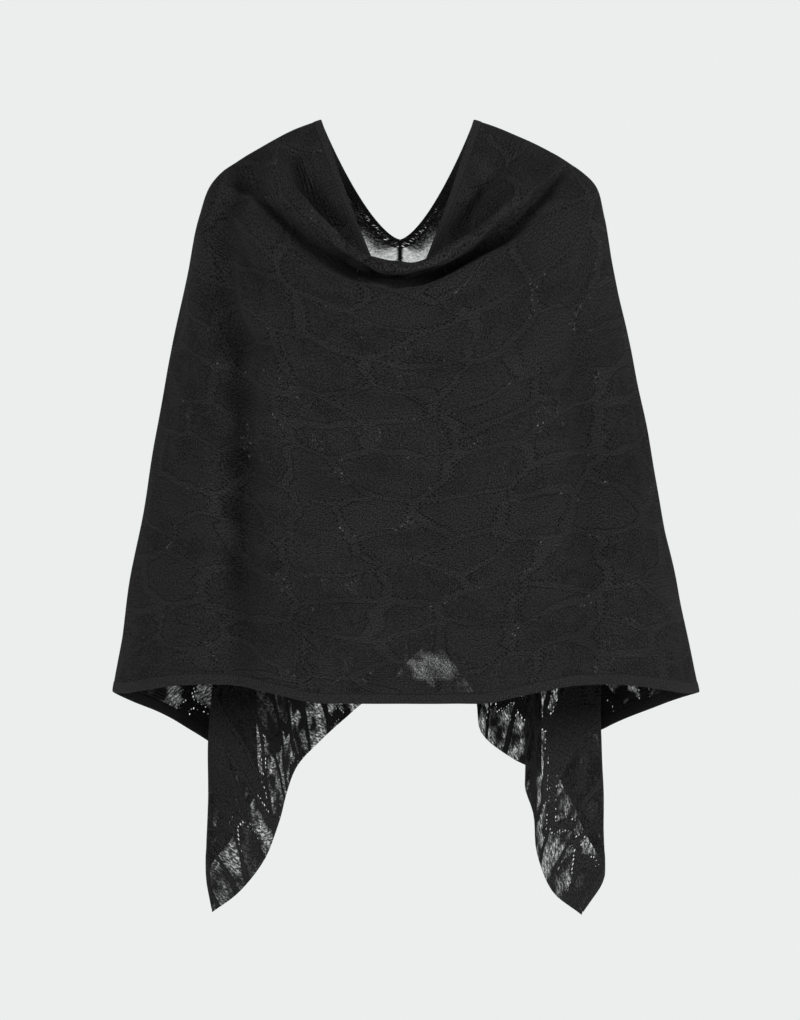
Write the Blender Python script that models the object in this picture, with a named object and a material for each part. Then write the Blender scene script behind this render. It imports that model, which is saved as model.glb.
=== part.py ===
"""A fine knitted poncho, as it hangs when it is worn.

The cut is one long rectangle. Its middle is the front, and the top edges of its two ends are sewn
to each other down the centre of the back, which leaves the neck open. The two short ends hang from
that seam as pointed tails. The front of the neck falls into a soft cowl.

Metres. +X is to the right seen from the front, -Y is the front and +Z is up. The origin is midway
between the two points where the cloth lies on the shoulders beside the neck.

A place on the cloth has two numbers. "around" runs from -1 to 1: 0 is the centre front, -0.5 and
0.5 are the shoulder lines and -1 and 1 meet at the back seam. "down" runs from 0 at the neck edge
to 1 at the outer edge.
"""

from collections import namedtuple

import bmesh
import bpy
import numpy as np

PANEL_LENGTH = 1.74
PANEL_WIDTH = 0.60
NECK_HALF = 0.42
WALL = 0.0015
BAND_WALL = 0.0020
BAND_WIDTH = 0.0125
SEAM_GAP = 0.0003

# Where the cut's landmarks fall along its long edges, from the centre front.
SHOULDER_ON_NECK_EDGE = 0.245
SIDE_ON_HEM = 0.42

# Where the corner of each short end, the tip of a tail, falls on the way round the outer edge.
TIP_AROUND = 0.73

# The hem band's mitre at each tip, and how far short of the tip the band ends, as places around.
MITRE = 0.012
BAND_END = 0.002

COLUMNS_ON_HALF_HEM = 42
COLUMNS_ON_END = 20
ROWS = 24
BAND_ROWS = 3
SHARP_ANGLE = 1.1

# Where the columns stand on the way from the centre front to a tip: each pair is a share of the
# columns and the place around that they have reached. They crowd into the front of the neck.
HEM_COLUMNS = ((0.0, 0.0), (0.10, 0.05), (0.46, 0.5), (1.0, TIP_AROUND - MITRE))

# Where the rows lie down the front, where they crowd into the rolled neck, and down the back: each
# pair is a share of the rows and the share of the way down that they have reached. Only the rows
# above the roll make room for the neck band.
FRONT_ROWS = ((0.0, 0.0), (0.12, 0.05), (0.70, 0.215), (0.80, 0.30), (1.0, 1.0))
BACK_ROWS = ((0.0, 0.0), (0.10, 0.06), (0.42, 0.26), (1.0, 1.0))
ROLL_FROM = 0.10

# How finely rings and edges are drawn before they are read, and the step that slopes are taken over.
FINE_ON_QUARTER_RING = 90
FINE_ON_FRONT_HEM = 17
FINE_BETWEEN_PLACES = 24
STEP = 0.002
AT_SEAM = 1e-9

# The level rings of the cloth over the shoulders, and the hem. Left and right are the reaches to
# the shoulder line, front and back those at the middle, and square is the exponent of the oval.
# The heights at the middle front, the shoulder line and the middle back are joined by a curve whose
# exponent is sag: a high one stays low for longer before it climbs to the shoulder.
Ring = namedtuple(
    "Ring",
    "name down left right front back side_y square front_z side_z back_z front_sag back_sag",
)
RINGS = (
    Ring("neck edge", 0.000, 0.0865, 0.0810, 0.078, 0.100, 0.0, 2.0, -0.212, 0.0000, -0.122, 1.3, 1.5),
    Ring("inside roll", 0.070, 0.1240, 0.1225, 0.090, 0.106, 0.0, 2.0, -0.179, -0.0145, -0.151, 1.8, 1.6),
    Ring("roll top", 0.100, 0.1420, 0.1460, 0.115, 0.110, 0.0, 2.0, -0.167, -0.0245, -0.166, 2.0, 1.6),
    Ring("roll front", 0.125, 0.1560, 0.1630, 0.139, 0.113, 0.0, 2.0, -0.171, -0.0330, -0.178, 2.0, 1.6),
    Ring("roll lip", 0.145, 0.1680, 0.1755, 0.140, 0.115, 0.0, 2.0, -0.182, -0.0400, -0.187, 1.9, 1.6),
    Ring("under roll", 0.165, 0.1800, 0.1860, 0.126, 0.118, 0.0, 2.1, -0.189, -0.0475, -0.197, 1.8, 1.6),
    Ring("top of chest", 0.190, 0.1940, 0.1980, 0.131, 0.121, 0.0, 2.1, -0.200, -0.0570, -0.209, 1.7, 1.6),
    Ring("shoulder", 0.215, 0.2070, 0.2120, 0.140, 0.124, 0.0, 2.1, -0.212, -0.0710, -0.221, 1.7, 1.6),
    Ring("upper arm", 0.265, 0.2205, 0.2230, 0.146, 0.129, 0.0, 2.2, -0.234, -0.1070, -0.244, 1.8, 1.6),
    Ring("hem", 1.000, 0.3170, 0.3300, 0.140, 0.140, 0.02, 2.3, -0.633, -0.6310, -0.584, 2.0, 2.0),
)

# The front hem rises on both sides of the middle, between these shares of its reach.
HEM_RISE = 0.018
HEM_RISE_FROM = 0.27
HEM_RISE_POWER = 1.3

# The outer edge behind the side, at the places where it turns: down the hem to the tip of the
# tail, and back up the short end to the foot of the seam.
# A chord power below 1 keeps the line from swinging wide where two places lie close together.
Place = namedtuple("Place", "name x y z")
CHORD_POWER = 0.7
LEFT_HEM = (
    Place("behind the side", -0.298, 0.047, -0.643),
    Place("back hem", -0.269, 0.079, -0.658),
    Place("outside of the pleat", -0.222, 0.128, -0.692),
    Place("inner turn of the pleat", -0.166, 0.158, -0.738),
    Place("inside the pleat", -0.186, 0.106, -0.792),
    Place("outer turn of the pleat", -0.2165, 0.064, -0.842),
)
LEFT_TIP = Place("tip of the left tail", -0.2103, 0.056, -0.879)
LEFT_END = (
    Place("beside the tip", -0.1775, 0.040, -0.853),
    Place("face of the tail", -0.1509, 0.034, -0.818),
    Place("face of the tail", -0.1353, 0.044, -0.778),
    Place("face of the tail", -0.1276, 0.056, -0.748),
    Place("edge turning up", -0.1161, 0.070, -0.718),
    Place("edge going back", -0.0889, 0.104, -0.689),
    Place("crest beside the tail", -0.0520, 0.138, -0.658),
    Place("valley beside the seam", -0.0160, 0.092, -0.628),
)
SEAM_FOOT = Place("foot of the back seam", 0.034, 0.140, -0.584)
RIGHT_HEM = (
    Place("behind the side", 0.312, 0.047, -0.639),
    Place("back hem", 0.288, 0.079, -0.651),
    Place("outside of the pleat", 0.237, 0.126, -0.677),
    Place("inner turn of the pleat", 0.184, 0.158, -0.715),
    Place("inside the pleat", 0.201, 0.108, -0.776),
    Place("outer turn of the pleat", 0.2290, 0.064, -0.841),
)
RIGHT_TIP = Place("tip of the right tail", 0.2020, 0.050, -0.881)
RIGHT_END = (
    Place("beside the tip", 0.1698, 0.036, -0.853),
    Place("face of the tail", 0.1532, 0.036, -0.814),
    Place("face of the tail", 0.1499, 0.046, -0.770),
    Place("near turn of the flap", 0.1416, 0.068, -0.737),
    Place("hidden turn of the flap", 0.1620, 0.104, -0.728),
    Place("edge going back", 0.1304, 0.124, -0.714),
    Place("crest beside the tail", 0.0957, 0.142, -0.688),
    Place("edge going up", 0.0850, 0.112, -0.640),
    Place("valley beside the seam", 0.0640, 0.098, -0.606),
)

# How far down the hanging cloth each further section lies, as a share of the way from the
# shoulder ring to the edge, and how soon the cloth behind the sides falls straight: at 1 it goes
# evenly from ring to edge, and above 1 it spreads near the top and then hangs.
HANG_SECTIONS = (0.12, 0.28, 0.46, 0.64, 0.82)
BACK_SPREAD = 2.2
BACK_STARTS = 0.50
BACK_FULL = 0.62

# Soft creases, laid on the flat cut: from and to are distances round from the centre front and
# down from the neck edge, bow pushes the middle of the line down, and depth is outwards. Each one
# fades towards its ends.
Crease = namedtuple("Crease", "name from_u from_v to_u to_v bow width depth")
CREASES = (
    Crease("valley inside the roll, left", -0.215, 0.038, -0.050, 0.046, 0.004, 0.010, -0.0085),
    Crease("roll, left", -0.235, 0.062, 0.000, 0.078, 0.000, 0.011, 0.0045),
    Crease("valley under the roll, left", -0.200, 0.088, 0.000, 0.104, 0.000, 0.011, -0.0080),
    Crease("ridge from the left shoulder", -0.225, 0.115, -0.090, 0.135, 0.004, 0.012, 0.0040),
    Crease("valley inside the roll, right", 0.200, 0.028, 0.050, 0.052, 0.000, 0.010, -0.0080),
    Crease("second valley, right", 0.195, 0.070, 0.080, 0.062, 0.000, 0.008, -0.0050),
    Crease("roll, right", 0.235, 0.086, 0.000, 0.078, 0.000, 0.011, 0.0045),
    Crease("valley under the roll, right", 0.225, 0.120, 0.000, 0.104, 0.002, 0.012, -0.0085),
    Crease("left front valley", -0.215, 0.125, -0.190, 0.590, 0.000, 0.034, -0.0120),
    Crease("right front valley", 0.245, 0.200, 0.260, 0.590, 0.000, 0.036, -0.0080),
)

BLACK_KNIT = ("black knit", (0.017, 0.016, 0.017), 0.9)
BLACK_RIB = ("black rib", (0.015, 0.014, 0.015), 0.9)


def smooth_step(low, high, value):
    """0 below low, 1 above high, and a smooth climb between them."""
    share = np.clip((value - low) / (high - low), 0.0, 1.0)
    return share * share * (3.0 - 2.0 * share)


def slopes_at(knots, places):
    """The slope of each stretch between knots, and a smooth slope at each knot."""
    steps = np.diff(knots).reshape((-1,) + (1,) * (places.ndim - 1))
    between = np.diff(places, axis=0) / steps
    inner = (between[1:] * steps[:-1] + between[:-1] * steps[1:]) / (steps[1:] + steps[:-1])
    return between, np.concatenate([between[:1], inner, between[-1:]])


def blend(share, width, start, leaving, end, arriving):
    """A cubic from start to end with the given slopes, at a share of the way between them."""
    square, cube = share**2, share**3
    return (
        (2 * cube - 3 * square + 1) * start
        + (cube - 2 * square + share) * width * leaving
        + (3 * square - 2 * cube) * end
        + (cube - square) * width * arriving
    )


def stretch_of(knots, at):
    """The stretch between knots that each position is in, its width, and the share of it passed."""
    stretch = np.clip(np.searchsorted(knots, at, side="right") - 1, 0, len(knots) - 2)
    width = (knots[stretch + 1] - knots[stretch])[:, None]
    return stretch, width, (at - knots[stretch])[:, None] / width


def line_through(knots, places, at, corners):
    """The smooth line through the places at the knots, free to turn at the corners."""
    between, leaving = slopes_at(knots, places)
    arriving = leaving.copy()
    for corner in corners:
        arriving[corner] = between[corner - 1]
        leaving[corner] = between[corner]
    i, width, share = stretch_of(knots, at)
    return blend(share, width, places[i], leaving[i], places[i + 1], arriving[i + 1])


def columns_through(knots, sections, at):
    """As line_through, with its own places in sections and its own position for each column."""
    _, slopes = slopes_at(knots, sections)
    i, width, share = stretch_of(knots, at)
    column = np.arange(len(at))
    return blend(
        share, width, sections[i, column], slopes[i, column], sections[i + 1, column], slopes[i + 1, column]
    )


def oval(ring, angles):
    """Points of a ring. An angle of 0 is the middle front, and 90 degrees the right shoulder."""
    across, along = np.sin(angles), -np.cos(angles)
    reach = np.where(across < 0, ring.left, ring.right)
    depth = np.where(along < 0, ring.front, ring.back)
    square = ring.square
    size = (np.abs(across / reach) ** square + np.abs(along / depth) ** square) ** (-1 / square)
    x, y = across * size, along * size
    out = np.clip(np.abs(x) / reach, 0.0, 1.0)
    z_front = ring.front_z + (ring.side_z - ring.front_z) * out**ring.front_sag
    z_back = ring.back_z + (ring.side_z - ring.back_z) * out**ring.back_sag
    z = np.where(along < 0, z_front, z_back)
    return np.stack([x, y + ring.side_y * out**2, z], axis=-1)


def evenly(points, corners, shares):
    """Reads a fine line at the given shares of the length between its corners."""
    lengths = np.concatenate([[0.0], np.cumsum(np.linalg.norm(np.diff(points, axis=0), axis=1))])
    wanted = np.interp(shares, np.linspace(0.0, 1.0, len(corners)), lengths[corners])
    return np.stack([np.interp(wanted, lengths, points[:, axis]) for axis in range(3)], axis=-1)


def ring_points(ring, around):
    """The ring at each place around, spaced evenly between front, shoulders and seam."""
    fine = oval(ring, np.linspace(-np.pi, np.pi, 4 * FINE_ON_QUARTER_RING + 1))
    return evenly(fine, [quarter * FINE_ON_QUARTER_RING for quarter in range(5)], (around + 1) / 2)


def front_hem():
    """The hem from the left side to the right, with its rise on both sides of the middle."""
    hem = RINGS[-1]
    line = oval(hem, np.linspace(-np.pi / 2, np.pi / 2, FINE_ON_FRONT_HEM))
    reach = np.where(line[:, 0] < 0, hem.left, hem.right)
    out = np.clip((np.abs(line[:, 0]) / reach - HEM_RISE_FROM) / (1 - HEM_RISE_FROM), 0.0, 1.0)
    line[:, 2] += HEM_RISE * np.sin(np.pi * out) ** HEM_RISE_POWER
    return line


def edge_line():
    """The whole outer edge from the seam's foot round the front and back to it, and its corners."""
    def places(table):
        return np.array([[place.x, place.y, place.z] for place in table])

    parts = (
        places((SEAM_FOOT,)), places(LEFT_END[::-1]), places((LEFT_TIP,)), places(LEFT_HEM[::-1]),
        front_hem(), places(RIGHT_HEM), places((RIGHT_TIP,)), places(RIGHT_END), places((SEAM_FOOT,)),
    )
    knots = np.concatenate(parts)
    starts = np.cumsum([0] + [len(part) for part in parts])
    left_tip, left_side, right_side, right_tip = starts[2], starts[4], starts[5] - 1, starts[6]
    middle = (left_side + right_side) // 2
    landmarks = [0, left_tip, left_side, middle, right_side, right_tip, len(knots) - 1]

    # The edge runs level through the foot of the seam, from one short end into the other.
    joined = np.concatenate([knots[-2:-1], knots, knots[1:2]])
    chords = np.linalg.norm(np.diff(joined, axis=0), axis=1) ** CHORD_POWER
    positions = np.concatenate([[0.0], np.cumsum(chords)])
    steps = np.arange((len(knots) - 1) * FINE_BETWEEN_PLACES + 1) / FINE_BETWEEN_PLACES
    fine = np.interp(steps, np.arange(len(knots)), positions[1:-1])
    line = line_through(positions, joined, fine, (left_tip + 1, right_tip + 1))
    return line, [landmark * FINE_BETWEEN_PLACES for landmark in landmarks]


EDGE_FINE, EDGE_CORNERS = edge_line()
EDGE_AROUND = (-1.0, -TIP_AROUND, -0.5, 0.0, 0.5, TIP_AROUND, 1.0)


def edge_points(around):
    shares = np.interp(around, EDGE_AROUND, np.linspace(0.0, 1.0, len(EDGE_AROUND)))
    return evenly(EDGE_FINE, EDGE_CORNERS, shares)


def on_the_cut(around, down):
    """(u, v): where a place on the worn cloth lies on the flat cut, from its middle top edge."""
    size = np.abs(around)
    top_u = np.interp(size, (0.0, 0.5, 1.0), (0.0, SHOULDER_ON_NECK_EDGE, NECK_HALF))
    low_u = np.interp(size, (0.0, 0.5, TIP_AROUND, 1.0), (0.0, SIDE_ON_HEM) + (PANEL_LENGTH / 2,) * 2)
    low_v = np.interp(size, (TIP_AROUND, 1.0), (PANEL_WIDTH, 0.0))
    return np.sign(around) * (top_u + (low_u - top_u) * down), low_v * down


def hang(around):
    """The sections from the shoulder ring to the edge, as one array for each."""
    top = ring_points(RINGS[-2], around)
    edge = edge_points(around)
    behind = smooth_step(BACK_STARTS, BACK_FULL, np.abs(around))[:, None]
    sections = []
    for share in HANG_SECTIONS:
        spread = share + behind * (1 - (1 - share) ** BACK_SPREAD - share)
        place = top + (edge - top) * spread
        place[:, 2] = top[:, 2] + (edge[:, 2] - top[:, 2]) * share
        sections.append(place)
    return sections + [edge]


def cloth(around, down):
    """The middle of the cloth before its creases, at arrays of places of one length."""
    around, down = np.broadcast_arrays(np.asarray(around, float), np.asarray(down, float))
    shape, around, down = around.shape, around.ravel(), down.ravel()
    upper = [ring_points(ring, around) for ring in RINGS[:-1]]
    first = RINGS[-2].down
    knots = [ring.down for ring in RINGS[:-1]]
    knots += [first + (1 - first) * share for share in HANG_SECTIONS] + [1.0]
    sections = np.stack(upper + hang(around))
    return columns_through(np.array(knots), sections, down).reshape(shape + (3,))


def wrapped(around):
    """A place just past the back seam, counted from the other side."""
    return (around + 1.0) % 2.0 - 1.0


def directions(around, down):
    """How the cloth runs from a place: a unit step round it, and the way down it."""
    above, below = np.clip(down - STEP, 0, 1), np.clip(down + STEP, 0, 1)
    round_it = cloth(wrapped(around + STEP), down) - cloth(wrapped(around - STEP), down)
    down_it = (cloth(around, below) - cloth(around, above)) / (below - above)[..., None]
    return round_it / np.linalg.norm(round_it, axis=-1, keepdims=True), down_it


def outwards(around, down):
    """The unit direction out of the cloth, away from the wearer."""
    round_it, down_it = directions(around, down)
    direction = np.cross(down_it, round_it)
    return direction / np.linalg.norm(direction, axis=-1, keepdims=True)


def down_for(width, around, down):
    """How much of the way down a strip of this width takes, measured square to the edge."""
    round_it, down_it = directions(around, down)
    square = down_it - (down_it * round_it).sum(axis=-1, keepdims=True) * round_it
    return width / np.linalg.norm(square, axis=-1)


def crease_height(around, down):
    """How far the creases push the cloth outwards."""
    u, v = on_the_cut(around, down)
    height = np.zeros_like(u)
    for crease in CREASES:
        run_u, run_v = crease.to_u - crease.from_u, crease.to_v - crease.from_v
        length = np.hypot(run_u, run_v)
        share = np.clip(((u - crease.from_u) * run_u + (v - crease.from_v) * run_v) / length**2, 0.0, 1.0)
        line_u = crease.from_u + run_u * share
        line_v = crease.from_v + run_v * share + crease.bow * 4 * share * (1 - share)
        away = np.hypot(u - line_u, v - line_v) / crease.width
        fade = np.sin(np.pi * (0.1 + 0.8 * share)) ** 0.7
        height += crease.depth * np.exp(-away * away) * fade
    return height


def surface(around, down, lift=0.0):
    """Points on the worn cloth, raised by lift from the middle of its wall."""
    height = crease_height(around, down) + lift
    return cloth(around, down) + outwards(around, down) * height[..., None]


def column_places():
    """Where the columns stand, with one at the end of the hem band and one at each tip."""
    hem = np.interp(np.linspace(0.0, 1.0, COLUMNS_ON_HALF_HEM), *zip(*HEM_COLUMNS))
    end = np.linspace(TIP_AROUND, 1.0, COLUMNS_ON_END)
    half = np.concatenate([hem[1:], [TIP_AROUND - BAND_END], end])
    return np.concatenate([-half[::-1], [0.0], half])


def row_places(columns, top, low):
    """How far down each row lies in each column, between the lines top and low."""
    even = np.linspace(0.0, 1.0, ROWS)[:, None]
    front, back = (np.interp(even, *zip(*table)) for table in (FRONT_ROWS, BACK_ROWS))
    down = front + (back - front) * smooth_step(BACK_STARTS, BACK_FULL, np.abs(columns))
    return down + top * np.clip(1.0 - down / ROLL_FROM, 0.0, 1.0) - (1.0 - low) * down


def band_places(top, low):
    """Even rows across a band, between the lines top and low."""
    return top + (low - top) * np.linspace(0.0, 1.0, BAND_ROWS)[:, None]


def strip(name, columns, rows, wall, finish):
    """A closed wall over the columns, with rows[row, column] holding how far down each point lies."""
    last_row, last_column = len(rows) - 1, len(columns) - 1
    grid = bmesh.new()
    bmesh.ops.create_grid(grid, x_segments=last_column, y_segments=last_row, size=0.5)
    row_of = grid.verts.layers.int.new("row")
    column_of = grid.verts.layers.int.new("column")
    for vertex in grid.verts:
        vertex[row_of] = round((vertex.co.y + 0.5) * last_row)
        vertex[column_of] = round((vertex.co.x + 0.5) * last_column)
    outer = list(grid.verts)
    walls = bmesh.ops.extrude_face_region(grid, geom=grid.faces[:], use_keep_orig=True)
    inner = [item for item in walls["geom"] if isinstance(item, bmesh.types.BMVert)]
    for side, lift in ((outer, wall / 2), (inner, -wall / 2)):
        row = np.array([vertex[row_of] for vertex in side])
        column = np.array([vertex[column_of] for vertex in side])
        around = columns[column]
        down = rows[row, column]
        at_seam = np.where(np.abs(around) > 1 - AT_SEAM, np.sign(around), 0.0)
        round_it, _ = directions(around, down)
        places = surface(around, down, lift) - round_it * (at_seam * SEAM_GAP / 2)[:, None]
        for vertex, place in zip(side, places):
            vertex.co = place
    bmesh.ops.recalc_face_normals(grid, faces=grid.faces[:])

    # Two rims that face each other at a seam are halved the same way, so that they stay apart.
    for rim_row, way in ((0, "FIXED"), (last_row, "ALTERNATE")):
        rim = [face for face in grid.faces if all(vertex[row_of] == rim_row for vertex in face.verts)]
        bmesh.ops.triangulate(grid, faces=rim, quad_method=way)
    mesh = bpy.data.meshes.new(name)
    grid.to_mesh(mesh)
    grid.free()
    mesh.shade_smooth()
    mesh.set_sharp_from_angle(angle=SHARP_ANGLE)
    mesh.materials.append(finish)
    piece = bpy.data.objects.new(name, mesh)
    bpy.context.collection.objects.link(piece)
    return piece


def neck_band_depth(columns, width=BAND_WIDTH):
    """How far down the neck band reaches in each column."""
    return down_for(width, columns, np.zeros_like(columns))


def hem_band_depth(columns, width=BAND_WIDTH):
    """How much of each column the hem band takes. It is mitred to nothing at the tips of the tails."""
    mitre = np.clip((TIP_AROUND - np.abs(columns)) / MITRE, 0.0, 1.0)
    return mitre * down_for(width, columns, np.ones_like(columns))


def neck_band(finish):
    columns = column_places()
    rows = band_places(np.zeros_like(columns), neck_band_depth(columns))
    return strip("neck_band", columns, rows, BAND_WALL, finish)


def knit_panel(finish):
    columns = column_places()
    top = neck_band_depth(columns, BAND_WIDTH + SEAM_GAP)
    on_hem = np.abs(columns) < TIP_AROUND - BAND_END / 2
    gap = down_for(SEAM_GAP, columns, np.ones_like(columns))
    low = 1.0 - np.where(on_hem, hem_band_depth(columns) + gap, 0.0)
    return strip("knit_panel", columns, row_places(columns, top, low), WALL, finish)


def hem_band(finish):
    columns = column_places()
    columns = columns[np.abs(columns) < TIP_AROUND - BAND_END / 2]
    rows = band_places(1.0 - hem_band_depth(columns), np.ones_like(columns))
    return strip("hem_band", columns, rows, BAND_WALL, finish)


def make_finish(name, colour, roughness):
    finish = bpy.data.materials.new(name)
    finish.use_nodes = True
    shader = finish.node_tree.nodes["Principled BSDF"]
    shader.inputs["Base Color"].default_value = (*colour, 1.0)
    shader.inputs["Roughness"].default_value = roughness
    shader.inputs["Metallic"].default_value = 0.0
    return finish


def main():
    for old in list(bpy.data.objects):
        bpy.data.objects.remove(old, do_unlink=True)
    knit = make_finish(*BLACK_KNIT)
    rib = make_finish(*BLACK_RIB)
    knit_panel(knit)
    neck_band(rib)
    hem_band(rib)


main()
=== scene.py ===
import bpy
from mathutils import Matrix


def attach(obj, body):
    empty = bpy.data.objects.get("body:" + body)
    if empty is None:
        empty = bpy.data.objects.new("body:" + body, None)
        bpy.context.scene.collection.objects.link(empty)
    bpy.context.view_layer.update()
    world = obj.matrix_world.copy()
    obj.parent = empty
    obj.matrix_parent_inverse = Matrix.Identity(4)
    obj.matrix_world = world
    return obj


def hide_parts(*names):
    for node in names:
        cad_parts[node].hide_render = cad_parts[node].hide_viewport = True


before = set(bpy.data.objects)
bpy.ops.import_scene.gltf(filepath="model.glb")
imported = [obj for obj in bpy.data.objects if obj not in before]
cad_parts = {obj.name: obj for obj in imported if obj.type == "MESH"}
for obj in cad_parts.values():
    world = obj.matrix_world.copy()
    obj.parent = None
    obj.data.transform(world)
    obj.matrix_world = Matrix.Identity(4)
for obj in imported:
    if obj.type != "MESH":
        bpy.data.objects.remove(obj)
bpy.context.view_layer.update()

import math

import bmesh
import bpy
import numpy as np
from mathutils import Vector

# A fine knitted poncho as it hangs when worn. Metres, +X right, -Y front, +Z up, and the origin is
# between the points where it lies on the shoulders beside the neck.
#
# A place on the cloth is (around, down): around is 0 at the centre front, -0.5 and 0.5 at the
# shoulder lines and -1 and 1 at the back seam, and down is 0 at the neck edge and 1 at the outer edge.

# the cut and the way it hangs
form = dict(
    panelLength=1.74, panelWidth=0.60, neckHalf=0.42, shoulderOnNeckEdge=0.245, sideOnHem=0.42,
    tipAround=0.73, hemRise=0.018, hemRiseFrom=0.27, hemRisePower=1.3, chordPower=0.7,
    hangSections=(0.12, 0.28, 0.46, 0.64, 0.82), backSpread=2.2, backStarts=0.50, backFull=0.62,
    # down, left, right, front, back, sideY, square, frontZ, sideZ, backZ, frontSag, backSag
    rings=[
        (0.000, 0.0865, 0.0810, 0.078, 0.100, 0.00, 2.0, -0.212, 0.0000, -0.122, 1.3, 1.5),   # neck edge
        (0.070, 0.1240, 0.1225, 0.090, 0.106, 0.00, 2.0, -0.183, -0.0145, -0.151, 1.8, 1.6),  # inside roll
        (0.100, 0.1420, 0.1460, 0.115, 0.110, 0.00, 2.0, -0.1715, -0.0245, -0.166, 2.0, 1.6),  # roll top
        (0.125, 0.1560, 0.1630, 0.137, 0.113, 0.00, 2.0, -0.1730, -0.0330, -0.178, 2.0, 1.6),  # roll front
        (0.145, 0.1680, 0.1755, 0.136, 0.115, 0.00, 2.0, -0.1785, -0.0400, -0.187, 1.9, 1.6),  # roll lip
        (0.165, 0.1800, 0.1860, 0.096, 0.118, 0.00, 2.1, -0.1830, -0.0475, -0.197, 1.8, 1.6),  # under roll
        (0.190, 0.1940, 0.1980, 0.130, 0.121, 0.00, 2.1, -0.1940, -0.0570, -0.209, 1.7, 1.6),  # chest
        (0.215, 0.2070, 0.2120, 0.140, 0.124, 0.00, 2.1, -0.212, -0.0710, -0.221, 1.7, 1.6),  # shoulder
        (0.265, 0.2205, 0.2230, 0.146, 0.129, 0.00, 2.2, -0.234, -0.1070, -0.244, 1.8, 1.6),  # upper arm
        (1.000, 0.3170, 0.3300, 0.140, 0.140, 0.02, 2.3, -0.633, -0.6310, -0.584, 2.0, 2.0),  # hem
    ],
    # the outer edge behind the side, down the hem to the tip of the tail
    leftHem=[
        (-0.298, 0.047, -0.643), (-0.269, 0.079, -0.658), (-0.222, 0.128, -0.692),
        (-0.166, 0.158, -0.738), (-0.186, 0.106, -0.792), (-0.2165, 0.064, -0.842),
    ],
    leftTip=(-0.2103, 0.056, -0.879),
    # and up the short end to the foot of the seam
    leftEnd=[
        (-0.1775, 0.040, -0.853), (-0.1509, 0.034, -0.818), (-0.1353, 0.044, -0.778),
        (-0.1276, 0.056, -0.748), (-0.1161, 0.070, -0.718), (-0.0889, 0.104, -0.689),
        (-0.0520, 0.138, -0.658), (-0.0160, 0.092, -0.628),
    ],
    seamFoot=(0.034, 0.140, -0.584),
    rightHem=[
        (0.312, 0.047, -0.639), (0.288, 0.079, -0.651), (0.237, 0.126, -0.677),
        (0.184, 0.158, -0.715), (0.201, 0.108, -0.776), (0.2290, 0.064, -0.841),
    ],
    rightTip=(0.2020, 0.050, -0.881),
    rightEnd=[
        (0.1698, 0.036, -0.853), (0.1532, 0.036, -0.814), (0.1499, 0.046, -0.770),
        (0.1416, 0.068, -0.737), (0.1620, 0.104, -0.728), (0.1304, 0.124, -0.714),
        (0.0957, 0.142, -0.688), (0.0850, 0.112, -0.640), (0.0640, 0.098, -0.606),
    ],
)

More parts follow.
